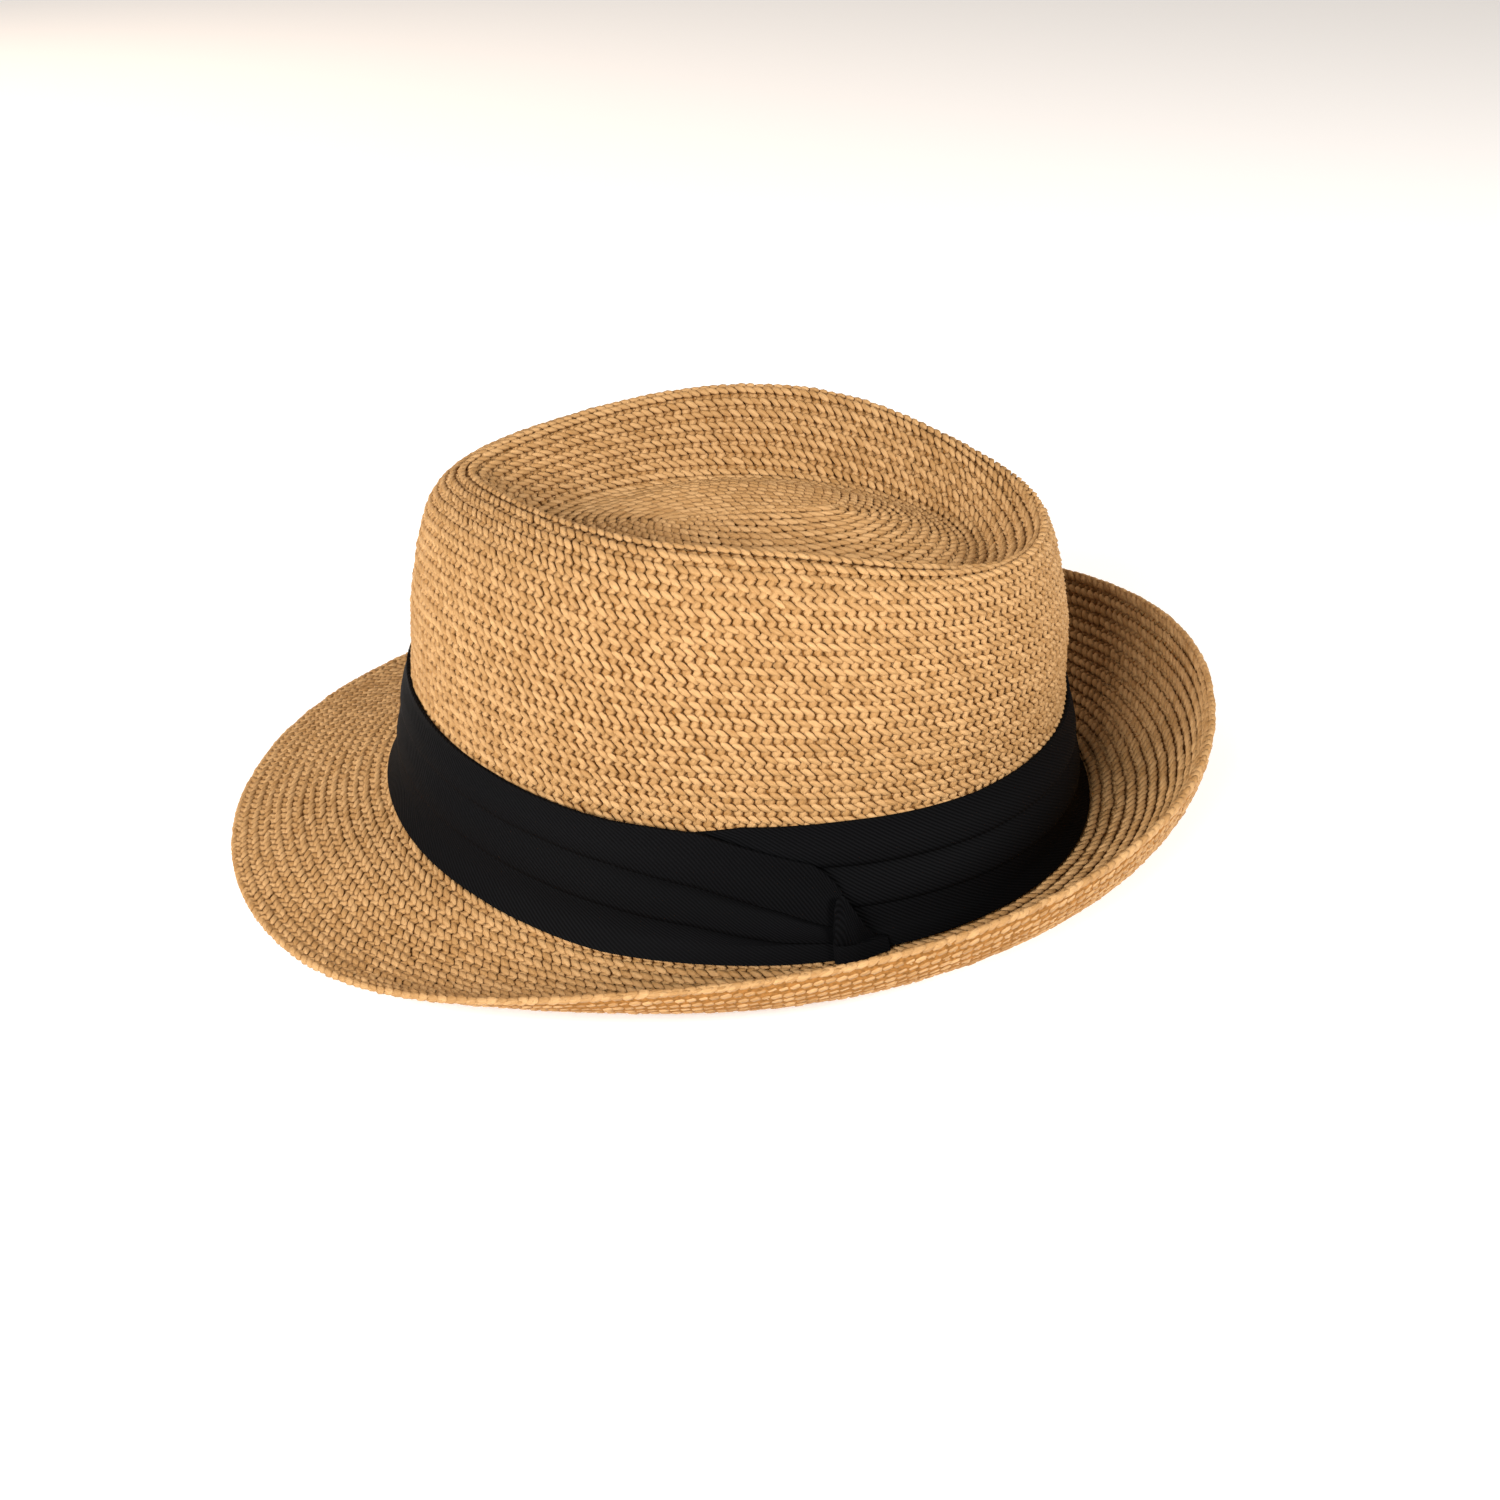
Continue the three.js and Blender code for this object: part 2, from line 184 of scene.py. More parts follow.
CROWN_COURSES = 51
CREST_COURSE = 20
CORNER_COURSES = 1.5
BRIM_COURSES = 14.5
FIRST_FLAT_COURSE = CROWN_COURSES + CORNER_COURSES
ALL_COURSES = FIRST_FLAT_COURSE + BRIM_COURSES
STITCH = 0.0028
COURSE = 0.0034
FULL_TURN = 2 * math.pi
JUST_SHORT = 1e-9
LEAST_SPAN = 1e-14
LEAST_BEND = 1e-3
LEAST_NORMAL = 1e-12

FINENESS = 5
HALF_ROUND = 360
CROWN_LINES = 400
CORNER_LINES = 20
START_ROWS = 4

GROUND_DEPTH = 0.001
GROUND_WALL = 0.0005
GROUND_WELD = 1e-5
GROUND_SMOOTH = math.radians(40)
GROUND_COLUMNS = 180
GROUND_ROWS_A_COURSE = 1.5
# The ground's colour stands for the straw under the stitches, made darker as painted shade in the
# gaps.
GROUND_SHADED_COLOUR = (0.26, 0.115, 0.03)
GROUND_SHADES = (0.6, 1.3)
GROUND_SHADE_PLACES = (0.3, 0.7)
GROUND_ROUGHNESS = 0.8
GROUND_GLOSS = 0.02
FIBRE_SCALE = 900
FIBRE_DETAIL = 3


def round_head(values, angle, bow=2):
    """A value that runs smoothly from its front value over its side value to its back value."""
    front, side, back = values
    forward = np.cos(angle)
    return side + np.where(forward > 0, front - side, back - side) * np.abs(forward) ** bow


def oval(ring, angle):
    """One ring of the crown from above, longer than wide and narrowed in front by its pinch."""
    forward, left = np.cos(angle), np.sin(angle)
    power = 2 / ring["square"]
    length = np.where(forward > 0, HEAD_FRONT * ring["front"], HEAD_BACK * ring["back"])
    narrowed = 1 - ring["pinch"] * np.maximum(forward, 0) ** 2
    across = HEAD_SIDE * ring["side"] * narrowed * np.sign(left) * np.abs(left) ** power
    return np.stack([across, -length * np.sign(forward) * np.abs(forward) ** power, 0 * angle], -1)


def ring_points(ring, angle):
    """One ring of the crown with its heights, which dip at the sides and rise to the crest."""
    points = oval(ring, angle)
    bow = ring.get("bow", 2)
    heights = [
        rise * (crest - BAND_HEIGHT) - sink * dent
        for rise, crest, sink, dent in zip(ring["rise"], CREST, ring["sink"], DENT)
    ]
    points[:, 2] = round_head((0, -HEAD_SIDE_DIP, -HEAD_BACK_DIP), angle, bow)
    points[:, 2] += ring["band"] * BAND_HEIGHT + round_head(heights, angle, bow)
    return points


def smooth_through(rows, places):
    """Points on smooth lines through the rows of points, at whole and part numbers of rows."""
    rows = np.concatenate([[2 * rows[0] - rows[1]], rows, [2 * rows[-1] - rows[-2]]])
    first = np.clip(np.floor(places).astype(int), 0, len(rows) - 4)
    share = (places - first)[:, None, None]
    before, start, end, after = (rows[first + i] for i in range(4))

    def span(a, b):
        return np.maximum(((a - b) ** 2).sum(-1, keepdims=True), LEAST_SPAN) ** 0.25

    lead, middle, trail = span(before, start), span(start, end), span(end, after)
    slope = (end - start) / middle
    leave = ((start - before) / lead - (end - before) / (lead + middle) + slope) * middle
    arrive = (slope - (after - start) / (middle + trail) + (after - end) / trail) * middle
    square = -3 * start + 3 * end - 2 * leave - arrive
    cube = 2 * start - 2 * end + leave + arrive
    return start + share * (leave + share * (square + share * cube))


def between_stations(values, angle):
    """A smooth value between equal steps from front to back, the same on both sides of the hat."""
    last = len(values) - 1
    place = np.arccos(np.clip(np.cos(angle), -1, 1)) / math.pi * last
    first = np.minimum(np.floor(place).astype(int), last - 1)
    share = place - first
    mirrored = np.array([values[1], *values, values[-2]])
    before, start, end, after = (mirrored[first + i] for i in range(4))
    square = 2 * before - 5 * start + 4 * end - after
    cube = 3 * start - before - 3 * end + after
    return start + 0.5 * share * (end - before + share * (square + share * cube))


def brim_rows(angle, shares):
    """Rows of points on top of the brim, at shares of the way from its corner to its edge."""
    start = np.radians(between_stations(BRIM_START_SLOPES, angle))
    edge = np.radians(between_stations(BRIM_EDGE_SLOPES, angle))
    width = between_stations(BRIM_WIDTHS, angle)
    bend = (edge - start) / width
    bend = np.where(np.abs(bend) < LEAST_BEND, LEAST_BEND, bend)
    run = CORNER_RUN + (width - CORNER_RUN) * shares[:, None]
    slope = start + bend * run
    out = (np.sin(slope) - np.sin(start)) / bend
    up = (np.cos(start) - np.cos(slope)) / bend
    step = math.radians(1)
    along = oval(CROWN_RINGS[0], angle + step) - oval(CROWN_RINGS[0], angle - step)
    along /= np.linalg.norm(along, axis=1, keepdims=True)
    head = ring_points(CROWN_RINGS[0], angle)
    x, y, z = head[:, 0] + along[:, 1] * out, head[:, 1] - along[:, 0] * out, head[:, 2] + up
    return np.stack([x, y, z], -1)


def even_rows(rows, count):
    """The same lines with their points an equal way apart."""
    steps = np.linalg.norm(np.diff(rows, axis=0), axis=2)
    ways = np.concatenate([np.zeros((1, rows.shape[1])), np.cumsum(steps, axis=0)])
    result = np.empty((count + 1, rows.shape[1], 3))
    for column in range(rows.shape[1]):
        at = np.linspace(0, ways[-1, column], count + 1)
        for axis in range(3):
            result[:, column, axis] = np.interp(at, ways[:, column], rows[:, column, axis])
    return result


columns = np.linspace(0, FULL_TURN, 2 * HALF_ROUND + 1)
corner_place = CORNER_RUN / BAND_HEIGHT
ring_rows = np.stack([ring_points(ring, columns) for ring in CROWN_RINGS])
crown_rows = smooth_through(ring_rows, np.linspace(START_RING, corner_place, CROWN_LINES))
brim_first = brim_rows(columns, np.zeros(1))[0]
corner_shares = np.linspace(0, 1, CORNER_LINES)[:, None, None]
corner_rows = (
    (1 - corner_shares) ** 2 * crown_rows[-1]
    + 2 * corner_shares * (1 - corner_shares) * ring_rows[0]
    + corner_shares ** 2 * brim_first
)
crest_row = int((START_RING - CREST_RING) / (START_RING - corner_place) * (CROWN_LINES - 1))
straw = np.concatenate([
    even_rows(crown_rows[:crest_row + 1], CREST_COURSE * FINENESS)[:-1],
    even_rows(crown_rows[crest_row:], (CROWN_COURSES - CREST_COURSE) * FINENESS)[:-1],
    even_rows(corner_rows, int(CORNER_COURSES * FINENESS))[:-1],
    brim_rows(columns, np.linspace(0, 1, int(BRIM_COURSES * FINENESS) + 1)),
])
crown_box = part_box("crown")
brim_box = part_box("brim")
straw += [0, brim_box[0].y - straw[..., 1].min(), crown_box[1].z - straw[..., 2].max()]
course_marks = np.concatenate([
    np.linspace(0, CROWN_COURSES, CROWN_COURSES * FINENESS + 1)[:-1],
    np.linspace(CROWN_COURSES, FIRST_FLAT_COURSE, int(CORNER_COURSES * FINENESS) + 1)[:-1],
    np.linspace(FIRST_FLAT_COURSE, ALL_COURSES, int(BRIM_COURSES * FINENESS) + 1),
])

down = np.gradient(straw, axis=0)
around = np.gradient(straw, axis=1)
around[:, 0] = around[:, -1] = straw[:, 1] - straw[:, -2]
straw_normals = np.cross(down, around)
straw_normals /= np.maximum(np.linalg.norm(straw_normals, axis=2, keepdims=True), LEAST_NORMAL)
for row in range(START_ROWS):
    share = row / START_ROWS
    straw_normals[row] = straw_normals[START_ROWS] * share + [0, 0, 1 - share]
straw_normals /= np.linalg.norm(straw_normals, axis=2, keepdims=True)


def knit(angle, course, height):
    """Points at an angle round the hat and a course from its start, a height above the straw."""
    column = np.mod(angle, FULL_TURN) / FULL_TURN * (len(columns) - 1)
    column = np.clip(column, 0, len(columns) - 1 - JUST_SHORT)
    row = np.interp(course, course_marks, np.arange(len(course_marks)))
    row = np.clip(row, 0, len(straw) - 1 - JUST_SHORT)
    c, r = column.astype(int), row.astype(int)
    right, low = (column - c)[..., None], (row - r)[..., None]

    def mixed(grid):
        """The grid's value between the four points round a place."""
        upper = grid[r, c] * (1 - right) + grid[r, c + 1] * right
        lower = grid[r + 1, c] * (1 - right) + grid[r + 1, c + 1] * right
        return upper * (1 - low) + lower * low

    return mixed(straw) + mixed(straw_normals) * np.asarray(height)[..., None]


def laid_grid(name, across, along, place):
    """A flat grid whose points are laid by a function of their shares across and along."""
    bpy.ops.object.select_all(action="DESELECT")
    bpy.ops.mesh.primitive_grid_add(x_subdivisions=across, y_subdivisions=along, size=1)
    piece = bpy.context.object
    piece.name = piece.data.name = name
    flat = np.empty(len(piece.data.vertices) * 3, np.float32)
    piece.data.vertices.foreach_get("co", flat)
    flat = flat.reshape(-1, 3).astype(float) + 0.5
    piece.data.vertices.foreach_set("co", place(flat[:, 0], flat[:, 1]).astype(np.float32).ravel())
    piece.data.update()
    return piece


def finished_wall(piece, wall):
    """Joins the edges that meet, turns the faces out and gives the sheet its wall."""
    bpy.ops.object.mode_set(mode="EDIT")
    bpy.ops.mesh.select_all(action="SELECT")
    bpy.ops.mesh.remove_doubles(threshold=GROUND_WELD)
    bpy.ops.mesh.flip_normals()
    bpy.ops.object.mode_set(mode="OBJECT")
    bpy.ops.object.modifier_add(type="SOLIDIFY")
    piece.modifiers["Solidify"].thickness = wall
    piece.modifiers["Solidify"].offset = -1
    bpy.ops.object.modifier_apply(modifier="Solidify")
    bpy.ops.object.shade_smooth_by_angle(angle=GROUND_SMOOTH)


def two_tones(material, source, places, tones):
    """Colours a finish from a first tone to a second as the value of a node rises."""
    nodes, links = material.node_tree.nodes, material.node_tree.links
    ramp = nodes.new("ShaderNodeValToRGB")
    for element, place, tone in zip(ramp.color_ramp.elements, places, tones):
        element.position = place
        element.color = (*tone, 1)
    links.new(source, ramp.inputs["Fac"])
    links.new(ramp.outputs["Color"], nodes["Principled BSDF"].inputs["Base Color"])


def shades(colour, factors):
    """The same colour made darker or lighter by each factor."""
    return [[factor * c for c in colour] for factor in factors]


# The ground's finish: its darker colour is painted shade between the stitches.
gap_straw_with_shade, _ = new_finish("straw_between_stitches_with_painted_shade", GROUND_ROUGHNESS, GROUND_GLOSS)
fibres = gap_straw_with_shade.node_tree.nodes.new("ShaderNodeTexNoise")
fibres.inputs["Scale"].default_value = FIBRE_SCALE
fibres.inputs["Detail"].default_value = FIBRE_DETAIL
fibre_place = gap_straw_with_shade.node_tree.nodes.new("ShaderNodeTexCoord")
gap_straw_with_shade.node_tree.links.new(fibre_place.outputs["Object"], fibres.inputs["Vector"])
ground_tones = shades(GROUND_SHADED_COLOUR, GROUND_SHADES)
two_tones(gap_straw_with_shade, fibres.outputs["Fac"], GROUND_SHADE_PLACES, ground_tones)

crown_ground = laid_grid(
    "crown_ground", GROUND_COLUMNS, int(CROWN_COURSES * GROUND_ROWS_A_COURSE),
    lambda x, y: knit(
        x * FULL_TURN * (1 - JUST_SHORT), y * CROWN_COURSES, np.full_like(x, -GROUND_DEPTH)
    ),
)
finished_wall(crown_ground, GROUND_WALL)
crown_ground.data.materials.append(gap_straw_with_shade)
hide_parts("crown")
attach(crown_ground, "root")


# Stitches outside the crown
# Each course is a row of short slanted posts of folded paper straw, locked below by a chain of
# longer strands that lean the other way. The band hides the lowest courses, which are left out.
POST_LENGTH = 0.0032
POST_WIDTH = 0.0026
POST_HEIGHT = 0.0016
POST_LEAN = math.radians(-60)
POST_ROW = 0.33
POST_CENTRE = -0.00057
# The posts get lower tones than the chains: painted shade on the posts that lie recessed between
# them.
POST_SHADED_TONES = (0, 0.85)
CHAIN_LENGTH = 0.0044
CHAIN_WIDTH = 0.0021
CHAIN_HEIGHT = 0.0017
CHAIN_LEAN = math.radians(30)
CHAIN_ROW = 0.86
CHAIN_SHIFT = 0.4
CHAIN_CENTRE = -0.00038
CHAIN_TONES = (0.15, 1)
HIDDEN_BAND_SHARE = 0.9
FIRST_COURSE = 0.25
CREST_ROPES = 0.00045
CREST_SPREAD = 1.8
DENT_RELIEF = 0.5
START_CROWDING = 1.6
START_REACH = 0.98
START_COURSE = 0.05
START_STEP = 0.12

# What differs by chance from strand to strand: its size, how far it stands out, its turn in the
# surface, where it lies in its stitch, and where the streaks begin along it.
SEED = 58
STRAND_SIZES = (0.94, 1.07)
STRAND_HEIGHTS = (0.9, 1.15)
STRAND_LIFT = 0.00007
STRAND_TURN = math.radians(4)
STRAND_WANDER = 0.035
STREAK_STARTS = (0, 200)
LEAST_STEP = 1e-6
MILLIMETRES = 1000

STRAW_DARK = (0.29, 0.146, 0.045)
STRAW_LIGHT = (0.475, 0.281, 0.121)
STRAW_TONE_PLACES = (0.22, 0.78)
STRAW_ROUGHNESS = 0.65
STRAW_GLOSS = 0.2
STREAK_STRETCH = (0.4, 1.7, 1.7)
STREAK_SCALE = 1.5
STREAK_DETAIL = 3
STREAK_SHARE = 0.55
TONE_SHARE = 0.4
RIDGE_STRENGTH = 0.8
RIDGE_DEPTH = 0.0003

rng = np.random.default_rng(SEED)


def ridged(material, source, strength, depth):
    """Gives a finish fine ridges where the value of a node is high."""
    nodes, links = material.node_tree.nodes, material.node_tree.links
    ridges = nodes.new("ShaderNodeBump")
    ridges.inputs["Strength"].default_value = strength
    ridges.inputs["Distance"].default_value = depth
    links.new(source, ridges.inputs["Height"])
    links.new(ridges.outputs["Normal"], nodes["Principled BSDF"].inputs["Normal"])


def paper_straw():
    """Dry paper straw: a tone for each strand, streaks along it, and fine ridges of its folds."""
    material, _ = new_finish("paper_straw", STRAW_ROUGHNESS, STRAW_GLOSS)
    nodes, links = material.node_tree.nodes, material.node_tree.links
    strand_place = nodes.new("ShaderNodeAttribute")
    strand_place.attribute_name = "strand"
    stretched = nodes.new("ShaderNodeMapping")
    stretched.inputs["Scale"].default_value = STREAK_STRETCH
    links.new(strand_place.outputs["Vector"], stretched.inputs["Vector"])
    streaks = nodes.new("ShaderNodeTexNoise")
    streaks.inputs["Scale"].default_value = STREAK_SCALE
    streaks.inputs["Detail"].default_value = STREAK_DETAIL
    links.new(stretched.outputs["Vector"], streaks.inputs["Vector"])
    tone = nodes.new("ShaderNodeAttribute")
    tone.attribute_name = "tone"
    tone_part = nodes.new("ShaderNodeMath")
    tone_part.operation = "MULTIPLY"
    tone_part.inputs[1].default_value = TONE_SHARE
    links.new(tone.outputs["Fac"], tone_part.inputs[0])
    blend = nodes.new("ShaderNodeMath")
    blend.operation = "MULTIPLY_ADD"
    blend.inputs[1].default_value = STREAK_SHARE
    links.new(streaks.outputs["Fac"], blend.inputs[0])
    links.new(tone_part.outputs["Value"], blend.inputs[2])
    two_tones(material, blend.outputs["Value"], STRAW_TONE_PLACES, (STRAW_DARK, STRAW_LIGHT))
    ridged(material, streaks.outputs["Fac"], RIDGE_STRENGTH, RIDGE_DEPTH)
    return material


straw_strands = paper_straw()


def strand_egg(name, length, width, height, lean, segments, rings):
    """One strand, as a small egg lying along x, leaned in the surface, of a few flat faces."""
    bpy.ops.object.select_all(action="DESELECT")
    bpy.ops.mesh.primitive_uv_sphere_add(segments=segments, ring_count=rings, radius=0.5)
    egg = bpy.context.object
    egg.name = name
    bpy.ops.object.mode_set(mode="EDIT")
    bpy.ops.mesh.select_all(action="SELECT")
    bpy.ops.mesh.quads_convert_to_tris()
    bpy.ops.transform.rotate(value=math.pi / 2, orient_axis="Y", center_override=(0, 0, 0))
    bpy.ops.transform.resize(value=(length, width, height), center_override=(0, 0, 0))
    bpy.ops.object.mode_set(mode="OBJECT")
    points = np.empty(len(egg.data.vertices) * 3, np.float32)
    egg.data.vertices.foreach_get("co", points)
    points = points.reshape(-1, 3).astype(float)
    corners = np.empty(len(egg.data.polygons) * 3, np.int32)
    egg.data.polygons.foreach_get("vertices", corners)
    bpy.data.objects.remove(egg)
    leaned = points.copy()
    leaned[:, 0] = points[:, 0] * math.cos(lean) - points[:, 1] * math.sin(lean)
    leaned[:, 1] = points[:, 0] * math.sin(lean) + points[:, 1] * math.cos(lean)
    return {"plain": points, "leaned": leaned, "faces": corners.reshape(-1, 3)}


def spiral_places(first, last, row, shift=0):
    """Where a row's stitches lie along the spiral: angle, course and the angle of one stitch."""
    turns = [course + columns[:-1] / FULL_TURN for course in range(first, last)]
    turns = np.concatenate([*turns, [last]])
    points = knit(turns % 1 * FULL_TURN, turns + 0.5, 0 * turns)
    ways = np.concatenate([[0], np.cumsum(np.linalg.norm(np.diff(points, axis=0), axis=1))])
    count = round(ways[-1] / STITCH)
    stitch = ways[-1] / count
    at = (np.arange(count) + 0.5 + shift) * stitch
    place = np.interp(at, ways, turns)
    ahead, behind = (np.interp(at + half, ways, turns) for half in (stitch / 2, -stitch / 2))
    step = (ahead - behind) * FULL_TURN
    return place % 1 * FULL_TURN, place + row, np.maximum(step, LEAST_STEP)


def joined_strands(name, egg, places, centre, side, tones):
    """One joined mesh of a strand copied to every place, on the outside (1) or the inside (-1)."""
    angle, course, step = places
    count = len(angle)
    size = rng.uniform(*STRAND_SIZES, (count, 1))
    turn = rng.normal(0, STRAND_TURN, (count, 1))
    x, y, z = (egg["leaned"][:, i][None] for i in range(3))
    along = (x * np.cos(turn) - y * np.sin(turn)) * size
    across = (x * np.sin(turn) + y * np.cos(turn)) * size
    wander = rng.normal(0, STRAND_WANDER, (count, 2))
    at_angle = angle[:, None] + (along / STITCH + wander[:, :1]) * step[:, None]
    at_course = course[:, None] + across / COURSE + wander[:, 1:]
    height = z * side * rng.uniform(*STRAND_HEIGHTS, (count, 1))
    lift = centre + height + rng.normal(0, STRAND_LIFT, (count, 1))
    points = knit(at_angle, at_course, lift)
    faces = egg["faces"] if side < 0 else egg["faces"][:, ::-1]
    vertices = egg["plain"].shape[0]
    corners = (faces[None] + (np.arange(count) * vertices)[:, None, None]).reshape(-1)
    triangles = len(corners) // 3
    mesh = bpy.data.meshes.new(name)
    mesh.vertices.add(count * vertices)
    mesh.vertices.foreach_set("co", points.astype(np.float32).ravel())
    mesh.loops.add(len(corners))
    mesh.loops.foreach_set("vertex_index", corners.astype(np.int32))
    mesh.polygons.add(triangles)
    mesh.polygons.foreach_set("loop_start", np.arange(0, len(corners), 3, dtype=np.int32))
    mesh.polygons.foreach_set("use_smooth", np.ones(triangles, bool))
    mesh.update(calc_edges=True)
    strand = mesh.attributes.new("strand", "FLOAT_VECTOR", "POINT")
    starts = rng.uniform(*STREAK_STARTS, (count, 1, 3))
    on_strand = egg["plain"][None] * MILLIMETRES + starts
    strand.data.foreach_set("vector", on_strand.astype(np.float32).ravel())
    tone = mesh.attributes.new("tone", "FLOAT", "POINT")
    strand_tones = np.repeat(rng.uniform(*tones, count), vertices)
    tone.data.foreach_set("value", strand_tones.astype(np.float32))
    mesh.materials.append(straw_strands)
    piece = bpy.data.objects.new(name, mesh)
    bpy.context.scene.collection.objects.link(piece)
    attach(piece, "root")
    return piece


def chosen(places, keep):
    """Those of the places that are kept."""
    return tuple(values[keep] for values in places)


# Which course lies at which height of the crown's rings, so that the stitches can stop under the
# band's top edge.
crown_places = np.linspace(START_RING, corner_place, CROWN_LINES)
crown_ways = np.linalg.norm(np.diff(crown_rows, axis=0), axis=2)
crown_ways = np.concatenate([np.zeros((1, len(columns))), np.cumsum(crown_ways, axis=0)])
way_to_crest, way_to_foot = crown_ways[crest_row], crown_ways[-1]
inner_share = np.minimum(crown_ways / way_to_crest, 1)
outer_share = np.maximum((crown_ways - way_to_crest) / (way_to_foot - way_to_crest), 0)
crown_courses = inner_share * CREST_COURSE + outer_share * (CROWN_COURSES - CREST_COURSE)
hidden_from = crown_courses[np.searchsorted(-crown_places, -HIDDEN_BAND_SHARE)]


def above_band(places):
    """Which of the places lie above the band's top edge."""
    angle, course, _ = places
    return course < np.interp(angle, columns, hidden_from)


post_egg = strand_egg(
    "post", POST_LENGTH, POST_WIDTH, POST_HEIGHT, POST_LEAN, segments=5, rings=3
)
chain_egg = strand_egg(
    "chain", CHAIN_LENGTH, CHAIN_WIDTH, CHAIN_HEIGHT, CHAIN_LEAN, segments=5, rings=4
)
for kind, egg, row, shift, centre, rope, tones in (
    ("posts", post_egg, POST_ROW, 0, POST_CENTRE, -CREST_ROPES, POST_SHADED_TONES),
    ("chains", chain_egg, CHAIN_ROW, CHAIN_SHIFT, CHAIN_CENTRE, CREST_ROPES, CHAIN_TONES),
):
    places = spiral_places(-1, CROWN_COURSES, row, shift)
    courses = places[1]
    relief = np.exp(-((courses - CREST_COURSE) / CREST_SPREAD) ** 2)
    relief = np.maximum(relief, np.where(courses < CREST_COURSE, DENT_RELIEF, 0))
    centres = (centre + rope * relief)[:, None]
    in_dent = (courses < CREST_COURSE) & (courses > FIRST_COURSE)
    joined_strands(f"dent_{kind}", egg, chosen(places, in_dent), centres[in_dent], 1, tones)
    on_side = (courses >= CREST_COURSE) & above_band(places)
    joined_strands(f"crown_{kind}", egg, chosen(places, on_side), centres[on_side], 1, tones)

start_length = np.linalg.norm(straw[0, 0] - straw[0, HALF_ROUND])
start_count = round(start_length / STITCH * START_CROWDING)
start_angle = np.arccos(np.linspace(START_REACH, -START_REACH, start_count))
start_places = (
    start_angle, np.full(start_count, START_COURSE), np.full(start_count, START_STEP)
)
joined_strands("start_chain", chain_egg, start_places, CHAIN_CENTRE, 1, CHAIN_TONES)


# Stitches inside the crown
# The back of the same knitting, which the wearer's head touches: flatter than the outside, with
# one short strand of the paper straw to a stitch, and nothing sewn in over it.
BACK_LENGTH = 0.0036
BACK_WIDTH = 0.0026
BACK_HEIGHT = 0.0013
BACK_LEAN = math.radians(24)
BACK_ROW = 0.5
BACK_CENTRE = -0.0012
BACK_TONES = (0, 1)

back_egg = strand_egg(
    "back", BACK_LENGTH, BACK_WIDTH, BACK_HEIGHT, BACK_LEAN, segments=4, rings=3
)
places = spiral_places(-1, CROWN_COURSES, BACK_ROW)
places = chosen(places, places[1] > FIRST_COURSE)
joined_strands("crown_inside", back_egg, places, BACK_CENTRE, -1, BACK_TONES)


# Ground of the brim
# The spiral goes on from the crown's foot round the corner under the band and out to the edge,
# pressed down in front and turned up round the sides and back. Again the thin ground first, with
# its painted shade in the gaps.
BRIM_GROUND_FREE = 0.3

brim_spread = CORNER_COURSES + BRIM_COURSES
brim_ground = laid_grid(
    "brim_ground", GROUND_COLUMNS, int(brim_spread * GROUND_ROWS_A_COURSE),
    lambda x, y: knit(
        x * FULL_TURN * (1 - JUST_SHORT),
        CROWN_COURSES + y * (brim_spread - BRIM_GROUND_FREE),
        np.full_like(x, -GROUND_DEPTH),
    ),
)
finished_wall(brim_ground, GROUND_WALL)
brim_ground.data.materials.append(gap_straw_with_shade)
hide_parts("brim")
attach(brim_ground, "root")


# Stitches of the brim
# The same knitting, pulled tighter at the back, where the chains stand up from the posts as ropes.
# Its last round is a thicker edge of longer strands, and the underside is its flatter back.
BRIM_POST_CENTRES = (-0.0005, -0.0007, -0.0013)
BRIM_CHAIN_CENTRES = (-0.0004, -0.0003, 0.0002)
EDGE_FREE = 0.3
EDGE_LENGTH = 0.0046
EDGE_WIDTH = 0.0022
EDGE_HEIGHT = 0.0022
EDGE_LEAN = math.radians(20)
EDGE_CENTRE = -0.00085
EDGE_ROW = ALL_COURSES - 0.25
UNDERSIDE_FREE = 0.2

last_course = int(ALL_COURSES)
for kind, egg, row, shift, centres, tones in (
    ("posts", post_egg, POST_ROW, 0, BRIM_POST_CENTRES, POST_SHADED_TONES),
    ("chains", chain_egg, CHAIN_ROW, CHAIN_SHIFT, BRIM_CHAIN_CENTRES, CHAIN_TONES),
):
    places = spiral_places(int(FIRST_FLAT_COURSE), last_course, row, shift)
    places = chosen(places, places[1] < ALL_COURSES - EDGE_FREE)
    centres = round_head(centres, places[0])[:, None]
    joined_strands(f"brim_{kind}", egg, places, centres, 1, tones)

edge_egg = strand_egg(
    "edge", EDGE_LENGTH, EDGE_WIDTH, EDGE_HEIGHT, EDGE_LEAN, segments=6, rings=4
)
angle, course, step = spiral_places(last_course - 1, last_course, 0)
edge_places = (angle, np.full_like(course, EDGE_ROW), step)
joined_strands("brim_edge", edge_egg, edge_places, EDGE_CENTRE, 1, CHAIN_TONES)

under_egg = strand_egg(
    "under", BACK_LENGTH, BACK_WIDTH, BACK_HEIGHT, BACK_LEAN, segments=5, rings=3
)
places = spiral_places(CROWN_COURSES, last_course, BACK_ROW)
places = chosen(places, places[1] < ALL_COURSES - UNDERSIDE_FREE)
joined_strands("brim_underside", under_egg, places, BACK_CENTRE, -1, BACK_TONES)


# Hatband
# One strip of black cotton twill, laid round the crown in knife pleats that each lap over the one
# below, its edges turned in. It ends over its own start and is gathered down to the tuck.
CLOTH = 0.0006
CLOTH_SMOOTH = math.radians(50)
BAND_GAP = 0.0003
BAND_LAYER = 0.0023
BAND_STEP = 1.5
PLEAT_DEPTH = 0.085
LEAST_PROUD = 0.0006
LAP_PROUD = 0.0013

